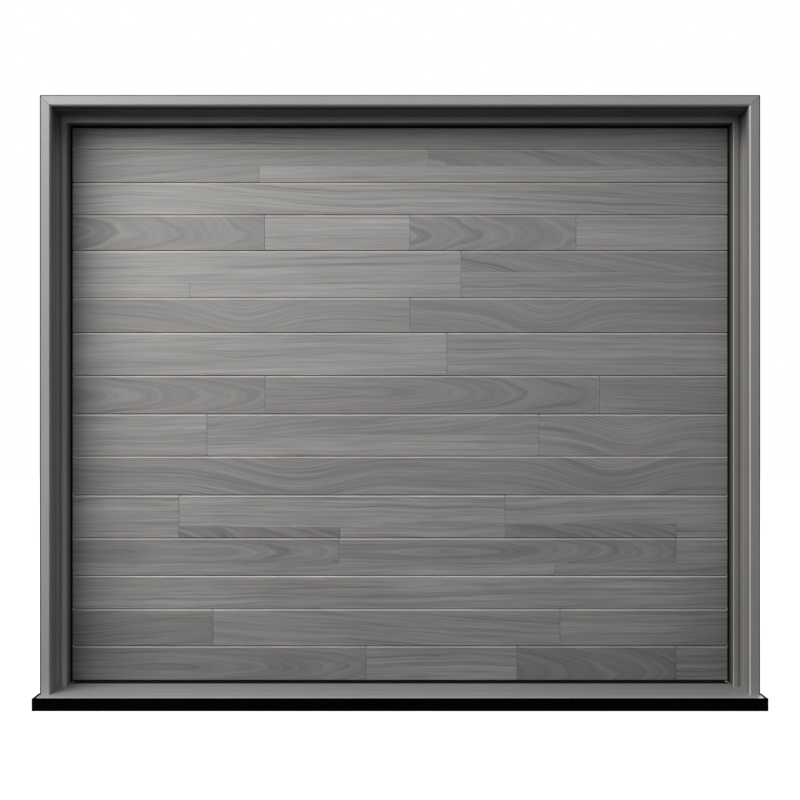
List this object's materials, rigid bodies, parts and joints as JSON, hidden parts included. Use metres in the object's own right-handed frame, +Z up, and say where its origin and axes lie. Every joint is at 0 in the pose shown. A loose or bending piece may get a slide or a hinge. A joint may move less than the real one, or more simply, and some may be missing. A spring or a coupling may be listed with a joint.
{
  "type": "up-and-over garage door with a boarded leaf",
  "caption": "Counterweighted up-and-over garage door: a grey boarded leaf in a deep grey frame with casing, liner, sill and black plinth.",
  "frame": {"origin": "on the ground at the middle of the opening, below the front face of the casing", "axes": "+X along the opening to the right seen from outside, +Y into the garage, +Z up"},
  "size_m": [2.74, 0.384, 2.29],
  "materials": {
    "grey_timber": "grey stained boards, satin",
    "grey_paint": "satin grey paint",
    "sill_metal": "worn satin, slightly mottled",
    "plinth_black": "matt black",
    "black_rubber": "matt",
    "galvanised_steel": "galvanised, satin",
    "roller_nylon": "matt nylon"
  },
  "bodies": {
    "frame": {"base_plinth": "plinth_black", "sill": "sill_metal", "floor_seal": "black_rubber", "casing_left": "grey_paint", "casing_right": "grey_paint", "casing_head": "grey_paint", "gasket_left": "black_rubber", "gasket_right": "black_rubber", "gasket_head": "black_rubber", "liner_left": "grey_paint", "liner_right": "grey_paint", "liner_head": "grey_paint", "jamb_left": "grey_paint", "jamb_right": "grey_paint", "frame_head": "grey_paint", "edge_seal_left": "black_rubber", "edge_seal_right": "black_rubber", "edge_seal_head": "black_rubber", "guide_channel_left": "galvanised_steel", "guide_channel_right": "galvanised_steel", "counterweight_casing_left": "galvanised_steel", "counterweight_casing_right": "galvanised_steel", "head_beam": "galvanised_steel", "lintel_flange": "galvanised_steel", "foot_plate_left": "galvanised_steel", "foot_plate_right": "galvanised_steel", "pivot_bracket_left": "galvanised_steel", "pivot_bracket_right": "galvanised_steel"},
    "link_arms": {"link_arm_left": "galvanised_steel", "link_arm_right": "galvanised_steel"},
    "leaf": {"leaf_boards": "grey_timber", "leaf_sheet": "galvanised_steel", "leaf_stile_left": "galvanised_steel", "leaf_stile_right": "galvanised_steel", "leaf_rail_top": "galvanised_steel", "leaf_rail_foot": "galvanised_steel", "leaf_stud_1": "galvanised_steel", "leaf_stud_2": "galvanised_steel", "leaf_stud_3": "galvanised_steel", "foot_seal": "black_rubber", "arm_pin_left": "galvanised_steel", "arm_pin_right": "galvanised_steel", "guide_roller_left": "roller_nylon", "guide_roller_right": "roller_nylon"}
  },
  "joints": [
    {"name": "arm_pivot", "type": "hinge", "parent": "frame", "child": "link_arms", "pos_m": [0, 0.221, 2.05], "axis": [1, 0, 0], "range_deg": [0, 86]},
    {"name": "leaf_hinge", "type": "hinge", "parent": "link_arms", "child": "leaf", "pos_m": [0, 0.221, 1.375], "axis": [-1, 0, 0], "range_deg": [0, 172]}
  ],
  "couplings": [
    {"joint": "leaf_hinge", "follows": "arm_pivot", "ratio": 2}
  ]
}
